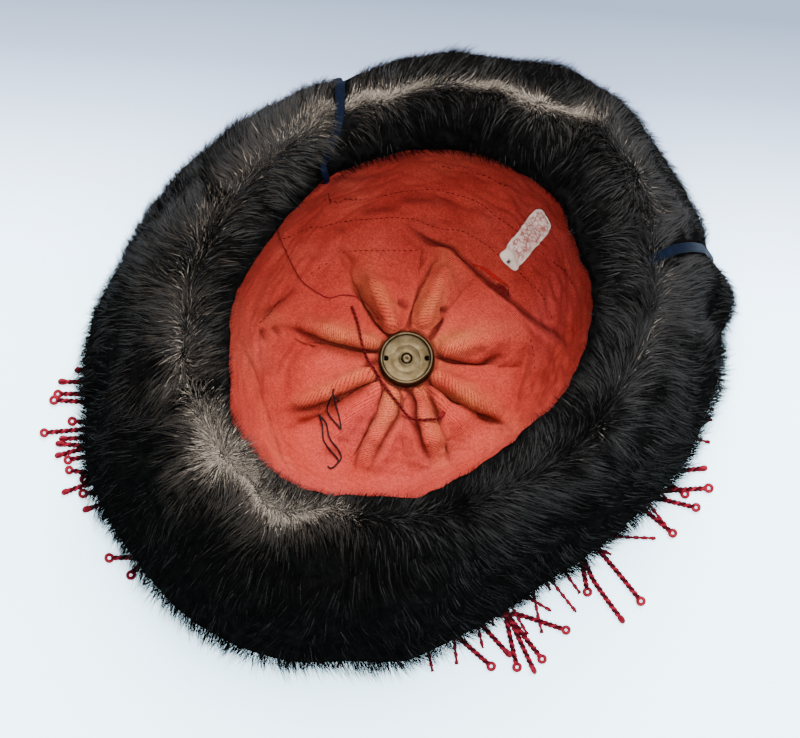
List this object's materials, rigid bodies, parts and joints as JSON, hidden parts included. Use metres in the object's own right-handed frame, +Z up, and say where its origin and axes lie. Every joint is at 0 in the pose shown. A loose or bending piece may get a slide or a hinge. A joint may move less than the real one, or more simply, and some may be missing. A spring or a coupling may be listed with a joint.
{
  "type": "winter hat with a turned-up fur brim, lying upside down",
  "caption": "Round cap with a red pleated lining, a turned-up black fur brim, a brass nut and a red cord fringe under it.",
  "frame": {"origin": "middle of the flat underside of the finial post's head, on the surface that the hat lies on", "axes": "+Z up through the head opening of the upturned hat, -Y towards the hat's front, +Y along its length"},
  "size_m": [0.3164, 0.3445, 0.1141],
  "materials": {
    "satin": "dark satin",
    "cotton": "plain weave",
    "fur": "glossy fur",
    "silk": "silk ribbon",
    "brass": "dull, tarnished",
    "fringe_silk": "twisted silk cord",
    "label_cloth": "matt cloth"
  },
  "bodies": {
    "root": {"crown": "satin", "lining": "cotton", "brim_band": "satin", "brim_fur": "fur", "ribbon_left": "silk", "ribbon_right": "silk", "finial_post": "brass", "finial_nut": "brass", "fringe": "fringe_silk", "label": "label_cloth", "loose_cord": "fringe_silk"}
  },
  "joints": []
}
